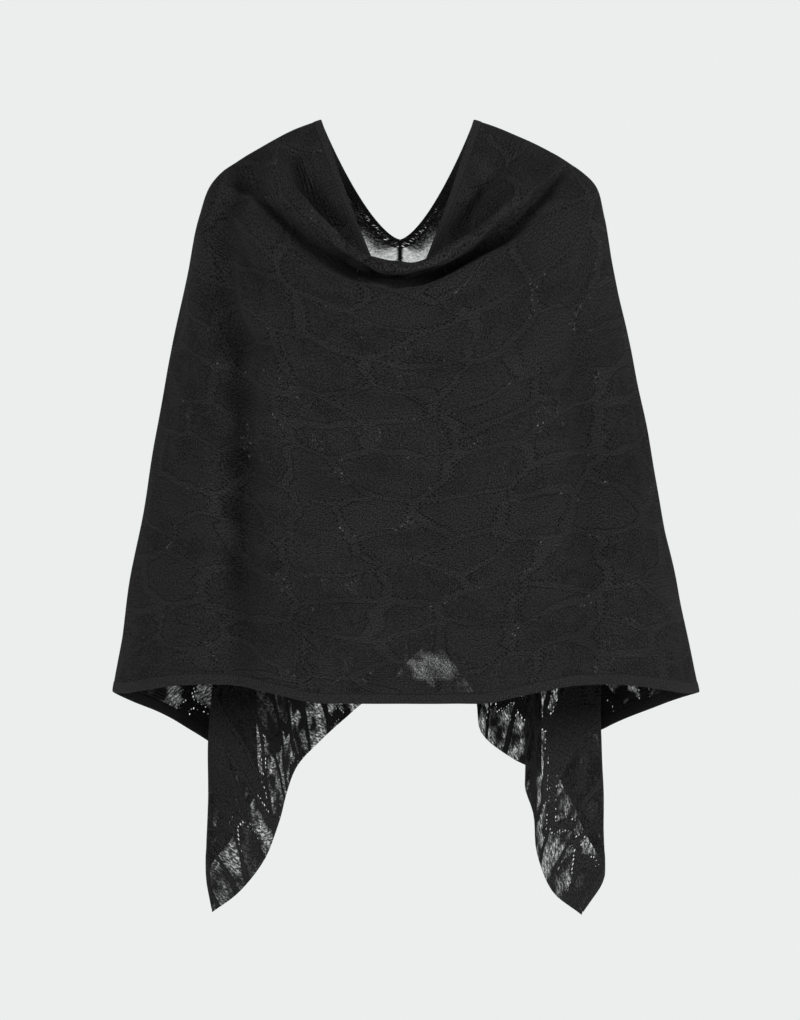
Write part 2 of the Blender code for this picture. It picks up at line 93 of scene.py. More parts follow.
# Creases, each along a line of (u, v) points on the flat cut, in metres.
creases = [  # width, how far it pushes outwards, line
    # the roll and the folds that fan out from it, left
    (0.0120, -0.0195, [(-0.205, 0.046), (-0.178, 0.050), (-0.138, 0.046), (-0.079, 0.046), (-0.036, 0.050)]),
    (0.0085, 0.0075, [(-0.220, 0.061), (-0.140, 0.060), (-0.093, 0.067), (-0.053, 0.073), (0.000, 0.078)]),
    (0.0075, -0.0065, [(-0.180, 0.078), (-0.148, 0.076), (-0.117, 0.083), (-0.061, 0.090), (-0.020, 0.099)]),
    (0.0070, 0.0030, [(-0.145, 0.090), (-0.113, 0.095), (-0.094, 0.097), (-0.060, 0.102)]),
    (0.0085, -0.0085, [(-0.176, 0.112), (-0.144, 0.115), (-0.100, 0.114), (-0.055, 0.112), (-0.005, 0.106)]),
    (0.0060, -0.0030, [(-0.132, 0.137), (-0.094, 0.127), (-0.068, 0.123)]),
    (0.0065, -0.0020, [(-0.162, 0.147), (-0.136, 0.144), (-0.110, 0.141), (-0.073, 0.128)]),
    (0.0100, 0.0030, [(-0.225, 0.128), (-0.190, 0.134), (-0.165, 0.130)]),
    # and right
    (0.0085, 0.0075, [(0.000, 0.078), (0.055, 0.074), (0.118, 0.075), (0.158, 0.077)]),
    (0.0105, -0.0165, [(0.040, 0.049), (0.078, 0.054), (0.104, 0.056), (0.124, 0.060), (0.142, 0.065)]),
    (0.0085, -0.0110, [(0.080, 0.042), (0.115, 0.036), (0.137, 0.036), (0.155, 0.037), (0.184, 0.043)]),
    (0.0050, -0.0030, [(0.174, 0.017), (0.164, 0.026), (0.152, 0.035)]),
    (0.0070, -0.0060, [(0.095, 0.089), (0.121, 0.090), (0.145, 0.087)]),
    (0.0070, 0.0030, [(0.102, 0.099), (0.129, 0.101), (0.162, 0.098)]),
    (0.0085, -0.0095, [(-0.005, 0.105), (0.042, 0.102), (0.096, 0.103), (0.132, 0.110), (0.160, 0.114)]),
    # long soft ones down the front and over the arms
    (0.024, -0.0240, [(-0.216, 0.110), (-0.208, 0.150), (-0.207, 0.200), (-0.190, 0.240),
                      (-0.181, 0.290), (-0.179, 0.400), (-0.190, 0.600)]),
    (0.0110, -0.0105, [(-0.210, 0.166), (-0.186, 0.157), (-0.156, 0.168)]),
    (0.0110, -0.0125, [(-0.214, 0.256), (-0.183, 0.243), (-0.138, 0.236)]),
    (0.0105, -0.0105, [(-0.214, 0.305), (-0.188, 0.302), (-0.154, 0.288)]),
    (0.0110, -0.0120, [(-0.214, 0.372), (-0.183, 0.362), (-0.146, 0.370)]),
    (0.0105, -0.0100, [(-0.204, 0.422), (-0.178, 0.416), (-0.151, 0.404)]),
    (0.0110, -0.0090, [(-0.202, 0.488), (-0.178, 0.478), (-0.153, 0.486)]),
    (0.017, 0.0100, [(-0.180, 0.202), (-0.158, 0.206)]),
    (0.014, 0.0065, [(-0.208, 0.278), (-0.196, 0.278)]),
    (0.014, 0.0060, [(-0.166, 0.270), (-0.150, 0.268)]),
    (0.017, 0.0085, [(-0.164, 0.332), (-0.148, 0.330)]),
    (0.014, 0.0060, [(-0.202, 0.336), (-0.194, 0.336)]),
    (0.014, 0.0060, [(-0.164, 0.390), (-0.148, 0.390)]),
    (0.016, 0.0065, [(-0.166, 0.448), (-0.150, 0.448)]),
    (0.030, -0.0150, [(0.205, 0.220), (0.214, 0.400), (0.225, 0.600)]),
    (0.006, -0.0022, [(0.207, 0.296), (0.250, 0.300), (0.289, 0.311)]),
    (0.009, 0.0018, [(0.205, 0.330), (0.236, 0.318), (0.280, 0.330)]),
    (0.030, 0.0040, [(-0.330, 0.150), (-0.345, 0.330), (-0.352, 0.520)]),
    (0.034, -0.0040, [(0.350, 0.160), (0.372, 0.330), (0.380, 0.500)]),
    # behind the shoulders
    (0.013, -0.0035, [(-0.300, 0.030), (-0.350, 0.075), (-0.400, 0.150)]),
    (0.014, -0.0035, [(0.300, 0.026), (0.352, 0.080), (0.398, 0.160)]),
    (0.011, 0.0028, [(-0.330, 0.028), (-0.390, 0.060), (-0.470, 0.120)]),
    (0.011, 0.0026, [(0.336, 0.030), (0.400, 0.066), (0.468, 0.110)]),
]


# how finely lines are worked out: a quarter of a ring, the front hem, an outer edge place, a crease
steps = dict(quarter=360, hem=17, place=48, crease=24)


def smoothStep(low, high, value):
    share = np.clip((value - low) / (high - low), 0.0, 1.0)
    return share * share * (3.0 - 2.0 * share)


def slopesAt(knots, places):
    gaps = np.diff(knots).reshape((-1,) + (1,) * (places.ndim - 1))
    between = np.diff(places, axis=0) / gaps
    inner = (between[1:] * gaps[:-1] + between[:-1] * gaps[1:]) / (gaps[1:] + gaps[:-1])
    return between, np.concatenate([between[:1], inner, between[-1:]])


def cubicBetween(share, width, start, leaving, end, arriving):
    square, cube = share**2, share**3
    return ((2 * cube - 3 * square + 1) * start + (cube - 2 * square + share) * width * leaving
            + (3 * square - 2 * cube) * end + (cube - square) * width * arriving)


def stretchOf(knots, at):
    stretch = np.clip(np.searchsorted(knots, at, side="right") - 1, 0, len(knots) - 2)
    width = (knots[stretch + 1] - knots[stretch])[:, None]
    return stretch, width, (at - knots[stretch])[:, None] / width


def lineThrough(knots, places, at, corners=()):
    # a smooth line through the places, free to turn at the corners
    between, leaving = slopesAt(knots, places)
    arriving = leaving.copy()
    for corner in corners:
        arriving[corner] = between[corner - 1]
        leaving[corner] = between[corner]
    i, width, share = stretchOf(knots, at)
    return cubicBetween(share, width, places[i], leaving[i], places[i + 1], arriving[i + 1])


def columnsThrough(knots, sections, at):
    _, slopes = slopesAt(knots, sections)
    i, width, share = stretchOf(knots, at)
    column = np.arange(len(at))
    return cubicBetween(share, width, sections[i, column], slopes[i, column],
                        sections[i + 1, column], slopes[i + 1, column])


def ovalRing(ring, angles):
    _, left, right, front, back, sideY, square, frontZ, sideZ, backZ, frontSag, backSag = ring
    across, along = np.sin(angles), -np.cos(angles)
    reach = np.where(across < 0, left, right)
    depth = np.where(along < 0, front, back)
    size = (np.abs(across / reach) ** square + np.abs(along / depth) ** square) ** (-1 / square)
    x, y = across * size, along * size
    out = np.clip(np.abs(x) / reach, 0.0, 1.0)
    z = np.where(along < 0, frontZ + (sideZ - frontZ) * out**frontSag, backZ + (sideZ - backZ) * out**backSag)
    return np.stack([x, y + sideY * out**2, z], axis=-1)


def lengthsAlong(points):
    return np.concatenate([[0.0], np.cumsum(np.linalg.norm(np.diff(points, axis=0), axis=1))])


def evenly(points, corners, shares):
    # reads a fine line at shares of the length between its corners
    lengths = lengthsAlong(points)
    wanted = np.interp(shares, np.linspace(0.0, 1.0, len(corners)), lengths[corners])
    return np.stack([np.interp(wanted, lengths, points[:, axis]) for axis in range(3)], axis=-1)


def ringPoints(ring, around):
    quarter = steps["quarter"]
    fine = ovalRing(ring, np.linspace(-np.pi, np.pi, 4 * quarter + 1))
    return evenly(fine, [quarter * i for i in range(5)], (around + 1) / 2)


def frontHem():
    hem = form["rings"][-1]
    line = ovalRing(hem, np.linspace(-np.pi / 2, np.pi / 2, steps["hem"]))
    reach = np.where(line[:, 0] < 0, hem[1], hem[2])
    out = np.clip((np.abs(line[:, 0]) / reach - form["hemRiseFrom"]) / (1 - form["hemRiseFrom"]), 0.0, 1.0)
    line[:, 2] += form["hemRise"] * np.sin(np.pi * out) ** form["hemRisePower"]
    return line


def outerEdge():
    # the whole outer edge from the foot of the seam round the front and back to it
    parts = [np.array(part) for part in (
        [form["seamFoot"]], form["leftEnd"][::-1], [form["leftTip"]], form["leftHem"][::-1], frontHem(),
        form["rightHem"], [form["rightTip"]], form["rightEnd"], [form["seamFoot"]])]
    knots = np.concatenate(parts)
    starts = np.cumsum([0] + [len(part) for part in parts])
    leftTip, leftSide, rightSide, rightTip = starts[2], starts[4], starts[5] - 1, starts[6]
    landmarks = [0, leftTip, leftSide, (leftSide + rightSide) // 2, rightSide, rightTip, len(knots) - 1]
    joined = np.concatenate([knots[-2:-1], knots, knots[1:2]])
    chords = np.linalg.norm(np.diff(joined, axis=0), axis=1) ** form["chordPower"]
    positions = np.concatenate([[0.0], np.cumsum(chords)])
    fineSteps = np.arange((len(knots) - 1) * steps["place"] + 1) / steps["place"]
    fine = np.interp(fineSteps, np.arange(len(knots)), positions[1:-1])
    line = lineThrough(positions, joined, fine, (leftTip + 1, rightTip + 1))
    return line, [landmark * steps["place"] for landmark in landmarks]


edgeFine, edgeCorners = outerEdge()
edgeAround = (-1.0, -form["tipAround"], -0.5, 0.0, 0.5, form["tipAround"], 1.0)


def edgePoints(around):
    shares = np.interp(around, edgeAround, np.linspace(0.0, 1.0, len(edgeAround)))
    return evenly(edgeFine, edgeCorners, shares)


def onTheCut(around, down):
    # where a place on the worn cloth lies on the flat cut, from the middle of its top edge
    size = np.abs(around)
    half = form["panelLength"] / 2
    topU = np.interp(size, (0.0, 0.5, 1.0), (0.0, form["shoulderOnNeckEdge"], form["neckHalf"]))
    lowU = np.interp(size, (0.0, 0.5, form["tipAround"], 1.0), (0.0, form["sideOnHem"], half, half))
    lowV = np.interp(size, (form["tipAround"], 1.0), (form["panelWidth"], 0.0))
    return np.sign(around) * (topU + (lowU - topU) * down), lowV * down


def clothMiddle(around, down):
    # the hanging cloth before its creases
    around, down = np.broadcast_arrays(np.asarray(around, float), np.asarray(down, float))
    shape, around, down = around.shape, around.ravel(), down.ravel()
    rings = form["rings"]
    sections = [ringPoints(ring, around) for ring in rings[:-1]]
    top, edge = sections[-1], edgePoints(around)
    behind = smoothStep(form["backStarts"], form["backFull"], np.abs(around))[:, None]
    for share in form["hangSections"]:
        spread = share + behind * (1 - (1 - share) ** form["backSpread"] - share)
        place = top + (edge - top) * spread
        place[:, 2] = top[:, 2] + (edge[:, 2] - top[:, 2]) * share
        sections.append(place)
    sections.append(edge)
    first = rings[-2][0]
    knots = [ring[0] for ring in rings[:-1]] + [first + (1 - first) * s for s in form["hangSections"]] + [1.0]
    return columnsThrough(np.array(knots), np.stack(sections), down).reshape(shape + (3,))


def clothWays(around, down, step=0.002):
    # a unit step round the cloth, and the way down it
    def wrapped(value):
        return (value + 1.0) % 2.0 - 1.0

    above, below = np.clip(down - step, 0, 1), np.clip(down + step, 0, 1)
    roundIt = clothMiddle(wrapped(around + step), down) - clothMiddle(wrapped(around - step), down)
    downIt = (clothMiddle(around, below) - clothMiddle(around, above)) / (below - above)[..., None]
    return roundIt / np.linalg.norm(roundIt, axis=-1, keepdims=True), downIt


def downFor(width, around, down):
    # how much of the way down a strip of this width takes, square to the edge
    roundIt, downIt = clothWays(around, down)
    square = downIt - (downIt * roundIt).sum(axis=-1, keepdims=True) * roundIt
    return width / np.linalg.norm(square, axis=-1)


def creaseHeight(u, v):
    height = np.zeros_like(u)
    for width, depth, line in creases:
        line = np.array(line)
        lengths = lengthsAlong(line)
        fine = np.linspace(0.0, lengths[-1], steps["crease"] + 1)
        smooth = lineThrough(lengths, line, fine)
        nearest, passed = np.full(u.shape, np.inf), np.zeros_like(u)
        for i in range(steps["crease"]):
            start, run = smooth[i], smooth[i + 1] - smooth[i]
            share = np.clip(((u - start[0]) * run[0] + (v - start[1]) * run[1]) / (run @ run), 0.0, 1.0)
            away = np.hypot(u - start[0] - run[0] * share, v - start[1] - run[1] * share)
            passed = np.where(away < nearest, (i + share) / steps["crease"], passed)
            nearest = np.minimum(nearest, away)
        # a crease dies away towards both its ends
        fade = np.sin(np.pi * (0.1 + 0.8 * passed)) ** 0.7
        height += depth * np.exp(-((nearest / width) ** 2)) * fade
    return height


ripple = dict(size=0.0011, waves=14, shortest=0.055, longest=0.16, turn=0.9, startsBy=0.05, seed=7)


def rippleHeight(u, v):
    # the slight unevenness of hanging knit
    numbers = np.random.default_rng(ripple["seed"])
    height = np.zeros_like(u)
    for _ in range(ripple["waves"]):
        length = numbers.uniform(ripple["shortest"], ripple["longest"])
        turn = numbers.uniform(-ripple["turn"], ripple["turn"])
        start = numbers.uniform(0.0, 2 * np.pi)
        height += np.sin(2 * np.pi * (u * math.cos(turn) + v * math.sin(turn)) / length + start)
    return height * ripple["size"] / math.sqrt(ripple["waves"]) * smoothStep(0.0, ripple["startsBy"], v)


def clothFacing(around, down):
    # a unit step round the cloth, and one out of it
    roundIt, downIt = clothWays(around, down)
    out = np.cross(downIt, roundIt)
    return roundIt, out / np.linalg.norm(out, axis=-1, keepdims=True)


def clothSurface(around, down, lift=0.0):
    u, v = onTheCut(around, down)
    _, out = clothFacing(around, down)
    height = creaseHeight(u, v) + rippleHeight(u, v) + lift
    return clothMiddle(around, down) + out * height[..., None]


def finishedPiece(name, shape, sharpFrom=math.pi):
    bmesh.ops.recalc_face_normals(shape, faces=shape.faces[:])
    mesh = bpy.data.meshes.new(name)
    shape.to_mesh(mesh)
    shape.free()
    mesh.shade_smooth()
    if sharpFrom < math.pi:
        mesh.set_sharp_from_angle(angle=sharpFrom)
    piece = bpy.data.objects.new(name, mesh)
    bpy.context.collection.objects.link(piece)
    return piece


def clothStrip(name, columns, rows, thickness, seamGap):
    # a grid laid on the cloth, given its wall by a second skin, with the flat cut as its UV map
    lastRow, lastColumn = len(rows) - 1, len(columns) - 1
    grid = bmesh.new()
    bmesh.ops.create_grid(grid, x_segments=lastColumn, y_segments=lastRow, size=0.5)
    rowOf = grid.verts.layers.int.new("row")
    columnOf = grid.verts.layers.int.new("column")
    aroundAt, downAt = (grid.verts.layers.float.new(layer) for layer in ("around", "down"))
    for vertex in grid.verts:
        vertex[rowOf] = round((vertex.co.y + 0.5) * lastRow)
        vertex[columnOf] = round((vertex.co.x + 0.5) * lastColumn)
    outer = list(grid.verts)
    skin = bmesh.ops.extrude_face_region(grid, geom=grid.faces[:], use_keep_orig=True)
    inner = [item for item in skin["geom"] if isinstance(item, bmesh.types.BMVert)]
    flat = {}
    for side, way in ((outer, 0.5), (inner, -0.5)):
        row = np.array([vertex[rowOf] for vertex in side])
        column = np.array([vertex[columnOf] for vertex in side])
        around, down = columns[column], rows[row, column]
        # the two rows at the back seam stand half the gap apart from it
        atSeam = np.where(np.abs(around) > 1 - 1e-9, np.sign(around), 0.0)
        wall = thickness[row] if np.ndim(thickness) else thickness
        places = clothSurface(around, down, way * wall)
        places -= clothWays(around, down)[0] * (atSeam * seamGap / 2)[:, None]
        u, v = onTheCut(around, down)
        for vertex, place, pair, spot in zip(side, places, zip(u, v), zip(around, down)):
            vertex.co = place
            vertex[aroundAt], vertex[downAt] = spot
            flat[vertex] = pair
    uvMap = grid.loops.layers.uv.new("flat")
    for face in grid.faces:
        for loop in face.loops:
            loop[uvMap].uv = flat[loop.vert]
    # the rims of the wall stay crisp
    return finishedPiece(name, grid, sharpFrom=1.2)


# where the columns and rows of the strips stand; they crowd into the front of the neck
spacing = dict(
    halfHem=112, end=52, panelRows=132, bandRows=7, mitre=0.012, bandEnd=0.002, rollFrom=0.10,
    hemColumns=((0.0, 0.0), (0.07, 0.03), (0.46, 0.5), (1.0, 0.718)),
    frontRows=((0.0, 0.0), (0.10, 0.04), (0.52, 0.215), (0.64, 0.30), (1.0, 1.0)),
    backRows=((0.0, 0.0), (0.08, 0.05), (0.36, 0.26), (1.0, 1.0)),
)
bands = dict(width=0.0125, neckWidth=0.0106, thickness=0.0020, rimThinner=0.75, rimPower=6,
             tuck=0.0015, seamGap=0.0003)
panel = dict(thickness=0.0010, seamGap=0.0003)


def columnPlaces():
    hem = np.interp(np.linspace(0.0, 1.0, spacing["halfHem"]), *zip(*spacing["hemColumns"]))
    end = np.linspace(form["tipAround"], 1.0, spacing["end"])
    half = np.concatenate([hem[1:], [form["tipAround"] - spacing["bandEnd"]], end])
    return np.concatenate([-half[::-1], [0.0], half])


def neckBandDepth(columns, width):
    return downFor(width, columns, np.zeros_like(columns))


def hemBandDepth(columns, width):
    mitre = np.clip((form["tipAround"] - np.abs(columns)) / spacing["mitre"], 0.0, 1.0)
    return mitre * downFor(width, columns, np.ones_like(columns))


def makePanel():
    columns = columnPlaces()
    # the panel's edge is tucked into the bands
    top = neckBandDepth(columns, bands["neckWidth"] - bands["tuck"])
    width = bands["width"] - bands["tuck"]
    low = 1.0 - np.where(np.abs(columns) < form["tipAround"], hemBandDepth(columns, width), 0.0)
    even = np.linspace(0.0, 1.0, spacing["panelRows"])[:, None]
    front, back = (np.interp(even, *zip(*spacing[name])) for name in ("frontRows", "backRows"))
    down = front + (back - front) * smoothStep(form["backStarts"], form["backFull"], np.abs(columns))
    rows = down + top * np.clip(1.0 - down / spacing["rollFrom"], 0.0, 1.0) - (1.0 - low) * down
    return clothStrip("ponchoPanel", columns, rows, panel["thickness"], panel["seamGap"])


def bandRows(top, low):
    # the rows crowd towards both rims, where the wall grows thin as the knit turns
    across = np.linspace(0.0, 1.0, spacing["bandRows"])
    across = 0.5 - 0.5 * np.cos(np.pi * across)
    thinner = bands["rimThinner"] * np.abs(2 * across - 1.0) ** bands["rimPower"]
    thickness = bands["thickness"] * (1.0 - thinner)
    return top + (low - top) * across[:, None], thickness


def makeNeckBand():
    columns = columnPlaces()
    rows, thickness = bandRows(np.zeros_like(columns), neckBandDepth(columns, bands["neckWidth"]))
    return clothStrip("neckEdging", columns, rows, thickness, bands["seamGap"])


def makeHemBand():
    columns = columnPlaces()
    columns = columns[np.abs(columns) < form["tipAround"] - spacing["bandEnd"] / 2]
    rows, thickness = bandRows(1.0 - hemBandDepth(columns, bands["width"]), np.ones_like(columns))
    return clothStrip("hemEdging", columns, rows, thickness, bands["seamGap"])


# Where the upper back is stretched between the shoulders, so that the knit opens. Widths are metres
# down from the neck edge, and since and full are places round the cloth.
taut = dict(
    since=0.76, full=0.93, edge=0.0022, seam=0.0030, seamSlope=0.84,
    opens=0.010, clear=0.028, seamOpens=0.006, openRun=0.004, fades=0.050, until=0.085,
    first=0.42, second=0.58,
    # one ragged thin patch above the front hem, on the flat cut
    patch=(0.033, 0.557), patchSize=(0.052, 0.024), patchAmount=0.65, patchRim=(1.25, 0.15), ragged=0.55,
)


def stretchedShare(around, down):
    side = np.abs(around)
    fromNeck = down / neckBandDepth(side, 1.0)
    fromSeam = (1.0 - side) * form["neckHalf"] * taut["seamSlope"]
    late = smoothStep(taut["full"], 1.0, side)
    opens, clear = (taut[name] + (taut["seamOpens"] - taut[name]) * late for name in ("opens", "clear"))
    share = taut["first"] * smoothStep(taut["edge"], 2 * taut["edge"], fromNeck)
    share += taut["second"] * smoothStep(opens, clear + taut["openRun"], fromNeck)
    share *= smoothStep(taut["since"], taut["full"], side)
    share *= 1.0 - smoothStep(taut["fades"], taut["until"], fromNeck)
    share *= smoothStep(0.0, taut["seam"], fromSeam)
    u, v = onTheCut(around, down)
    acrossPatch = (u - taut["patch"][0]) / taut["patchSize"][0]
    downPatch = (v - taut["patch"][1]) / taut["patchSize"][1]
    ragged = taut["ragged"] * np.sin(u * 210.0 + 3.0 * np.sin(v * 160.0)) * np.sin(v * 230.0 + 1.0)
    inPatch = smoothStep(*taut["patchRim"], acrossPatch**2 + downPatch**2 + ragged)
    return np.maximum(share, taut["patchAmount"] * inPatch)


# Painted shade: where the cloth lies deep in a fold or under the roll, its colour is darkened and less light
# comes through it.
# low and high are crease depths in metres, and lip, under and below are places down the roll.
foldShading = dict(low=0.0045, high=0.017, crease=0.85, lowerFrom=(0.13, 0.16), lower=0.75,
               lip=0.148, under=0.163, below=0.182, half=0.30)


def foldShadeShare(around, down):
    u, v = onTheCut(around, down)
    # painted shade, darker deep in the creases and weaker further down, and in a band under the roll's lip
    # near the centre front
    creaseShade = smoothStep(foldShading["low"], foldShading["high"], -creaseHeight(u, v))
    creaseShade *= 1.0 - foldShading["lower"] * smoothStep(*foldShading["lowerFrom"], v)
    tucked = smoothStep(foldShading["lip"], foldShading["under"], down)
    tucked *= 1.0 - smoothStep(foldShading["under"], foldShading["below"], down)
    tucked *= 1.0 - smoothStep(0.5 * foldShading["half"], foldShading["half"], np.abs(around))
    return np.maximum(foldShading["crease"] * creaseShade, tucked)


def markCloth(piece):
    # the materials read both shares from the cloth's points
    mesh = piece.data
    around, down = np.zeros(len(mesh.vertices)), np.zeros(len(mesh.vertices))
    mesh.attributes["around"].data.foreach_get("value", around)
    mesh.attributes["down"].data.foreach_get("value", down)
    for mark, share in (("stretched", stretchedShare(around, down)), ("shadedFold", foldShadeShare(around, down))):
        mesh.attributes.new(mark, "FLOAT", "POINT").data.foreach_set("value", share)


# the two edges of the centre-back seam, turned in and overlocked to each other
backSeam = dict(width=0.0036, depth=0.0050, inside=0.0012, steps=260, sides=10, wave=0.00035,
                waveLength=0.004, margin=0.002, flatLength=0.45, flatWidth=0.004, flatLevel=0.3)


def makeBackSeam():
    shape = bmesh.new()
    bmesh.ops.create_cone(shape, cap_ends=True, segments=backSeam["sides"], radius1=1.0, radius2=1.0,
                          depth=1.0)
    lengthwise = [edge for edge in shape.edges if abs(edge.verts[0].co.z - edge.verts[1].co.z) > 0.5]
    bmesh.ops.subdivide_edges(shape, edges=lengthwise, cuts=backSeam["steps"] - 1)
    corners = list(shape.verts)
    level = np.array([0.5 - vertex.co.z for vertex in corners])
    across = np.array([vertex.co.x for vertex in corners])
    inwards = np.array([vertex.co.y for vertex in corners])
    # the rod is bent to the seam, and swells a little at each stitch
    atSeam = np.ones_like(level)
    down = backSeam["margin"] + (1.0 - 2 * backSeam["margin"]) * level
    roundIt, out = clothFacing(atSeam, down)
    stitches = np.sin(2 * np.pi * level * form["neckHalf"] / backSeam["waveLength"])
    swell = 1.0 + backSeam["wave"] / backSeam["width"] * stitches
    places = clothSurface(atSeam, down)
    places += roundIt * (across * backSeam["width"] / 2 * swell)[:, None]
    places -= out * (backSeam["inside"] + (inwards * swell + 1.0) * backSeam["depth"] / 2)[:, None]
    uvMap = shape.loops.layers.uv.new("flat")
    flatU = form["neckHalf"] + backSeam["flatLength"] * level + backSeam["flatWidth"] * across
    flatV = backSeam["flatLevel"] + backSeam["flatWidth"] * inwards
    flat = dict(zip(corners, zip(flatU, flatV)))
    for vertex, place in zip(corners, places):
        vertex.co = place
    for face in shape.faces:
        for loop in face.loops:
            loop[uvMap].uv = flat[loop.vert]
    return finishedPiece("backSeam", shape)


# One shader node. Its values are set on its sockets, or linked where a value is itself a socket.
def addNode(tree, kind, values=None, **settings):
    node = tree.nodes.new(kind)
    for name, value in settings.items():
        setattr(node, name, value)
    for key, value in (values or {}).items():
        if isinstance(value, bpy.types.NodeSocket):
            tree.links.new(value, node.inputs[key])
        else:
            node.inputs[key].default_value = value
    return node


def mathNode(tree, operation, *numbers):
    return addNode(tree, "ShaderNodeMath", dict(enumerate(numbers)), operation=operation).outputs[0]


def product(tree, first, *others):
    for other in others:
        first = mathNode(tree, "MULTIPLY", first, other)
    return first


def blendOf(tree, first, second):
    # the sum of two values, each with its share
    return mathNode(tree, "MULTIPLY_ADD", *first, product(tree, *second))


def restOf(tree, share):
    return mathNode(tree, "SUBTRACT", 1.0, share)


def rampBetween(tree, value, span, result=(0.0, 1.0)):
    return addNode(tree, "ShaderNodeMapRange", {
        "Value": value, "From Min": span[0], "From Max": span[1],
        "To Min": result[0], "To Max": result[1]}, interpolation_type="SMOOTHSTEP").outputs[0]


def vectorNode(tree, operation, first, second):
    return addNode(tree, "ShaderNodeVectorMath", {0: first, 1: second}, operation=operation).outputs[0]


def mappedBy(tree, place, **settings):
    values = {name.capitalize(): value for name, value in settings.items()}
    return addNode(tree, "ShaderNodeMapping", {"Vector": place, **values}).outputs[0]


def noiseOn(tree, place, scale, detail, roughness=0.5):
    return addNode(tree, "ShaderNodeTexNoise", {
        "Vector": place, "Scale": scale, "Detail": detail, "Roughness": roughness}).outputs[0]


def wavesOn(tree, place, scale, distortion, direction, detailScale=1.0):
    return addNode(tree, "ShaderNodeTexWave", {
        "Vector": place, "Scale": scale, "Distortion": distortion, "Detail": 1.0,
        "Detail Scale": detailScale}, wave_type="BANDS", bands_direction=direction).outputs[1]


def markOn(tree, name):
    node = addNode(tree, "ShaderNodeAttribute", attribute_name=name, attribute_type="GEOMETRY")
    return node.outputs["Fac"]


def scaledColour(tree, colour, tone):
    node = addNode(tree, "ShaderNodeVectorMath", {0: colour, "Scale": tone}, operation="SCALE")
    return node.outputs[0]


def mixedColour(tree, share, first, second):
    return addNode(tree, "ShaderNodeMix", {0: share, 6: first, 7: second}, data_type="RGBA").outputs[2]


def clothShader(name):
    # a new material with the flat cut's coordinates
    material = bpy.data.materials.new(name)
    material.use_nodes = True
    tree = material.node_tree
    uv = addNode(tree, "ShaderNodeUVMap", uv_map="flat").outputs[0]
    return material, tree, tree.nodes["Principled BSDF"], uv


def finishShader(tree, shader, looks, colour, alpha, height):
    bump = addNode(tree, "ShaderNodeBump", {"Height": height, "Strength": looks["bump"], "Distance": 1.0})
    for socket, value in (("Base Color", colour), ("Alpha", alpha), ("Normal", bump.outputs[0])):
        tree.links.new(value, shader.inputs[socket])
    shader.inputs["Roughness"].default_value = looks["roughness"]
    shader.inputs["Specular IOR Level"].default_value = looks["specular"]
    shader.inputs["Sheen Weight"].default_value = looks["sheen"]
    shader.inputs["Sheen Roughness"].default_value = looks["sheenRoughness"]
    shader.inputs["Sheen Tint"].default_value = looks["sheenTint"]


# Pairs are the low and high end of a ramp. Offsets from an outline are in shares of a cell.
knit = dict(
    # leaf-shaped cells, metres on the flat cut, and the channels between them
    cellLength=0.086, cellHeight=0.0395, cellShift=(3.3, 1.7, 0.0), randomness=0.85,
    warp=0.34, warpScale=1.1, channel=0.080, channelVaries=0.16, channelScale=13.0, soft=0.007,
    cellColour=(0.0165, 0.0158, 0.0168, 1.0), channelColour=(0.0191, 0.0184, 0.0195, 1.0),
    faintScale=11.0, faint=(0.46, 0.64), faintShare=0.6,
    # the yarn's own unevenness, and the painted shade in the folds
    grainScale=640.0, grainRoughness=0.6, grain=(0.34, 0.66), heather=0.95,
    broadScale=9.0, broad=(0.25, 0.75), broadTone=(0.88, 1.12), paintedFoldShade=0.80,
    # outlines: slanting stretches are rows of eyelets, level ones a soft line
    slanting=(0.17, 0.29), lineWidth=0.018, lineDark=0.72, outline=0.98,
    eyeletGap=0.0062, eyeletRise=1.25, eyelet=(0.18, 0.34), nearLine=(0.022, 0.034),
    # the few eyelets on the front, partly open and with a painted glint in their colour, and the open rows on
    # the tails
    patchScale=24.0, patch=(0.56, 0.64), openScale=210.0, frontOpen=(0.50, 0.58), tailOpen=(0.36, 0.52),
    rowWidth=(0.010, 0.024), frontHoles=0.4, paintedGlint=(0.12, 0.12, 0.13, 1.0), paintedGlintShare=0.9,
    # light through the thin ground of some cells, most on the tails, in clouds and slanting streaks
    thinCells=(0.15, 0.40), cloudScale=42.0, cloudRoughness=0.55, cloud=(0.35, 0.62),
    slant=0.6, streakScale=(560.0, 150.0, 1.0), hatchGrain=0.45, hatchStreak=0.55, hatch=(0.40, 0.64),
    hatchLeast=0.16, ground=(-0.005, 0.050), sheer=0.34, tailSheer=0.92, tails=(0.46, 0.56),
    # and through the stretched knit of the upper back, but none in the folds
    stretchGrain=0.8, stretchStreak=0.4, stretched=(0.86, 1.84), stretchStarts=(0.0, 0.1), backNeckSheer=0.90,
    foldCloses=(0.3, 0.7),
    # relief in metres: grain, courses in bands, sunk cells and sunk outlines
    grainHeight=0.0005, courseScale=112.0, bandScale=(17.0, 38.0, 1.0), banded=(0.50, 0.66),
    courseHeight=(0.0003, 0.0013), cellSunk=0.0005, lineSunk=0.0003, bump=0.7,
    roughness=0.9, specular=0.2, sheen=0.03, sheenRoughness=0.5, sheenTint=(0.82, 0.80, 0.86, 1.0),
)


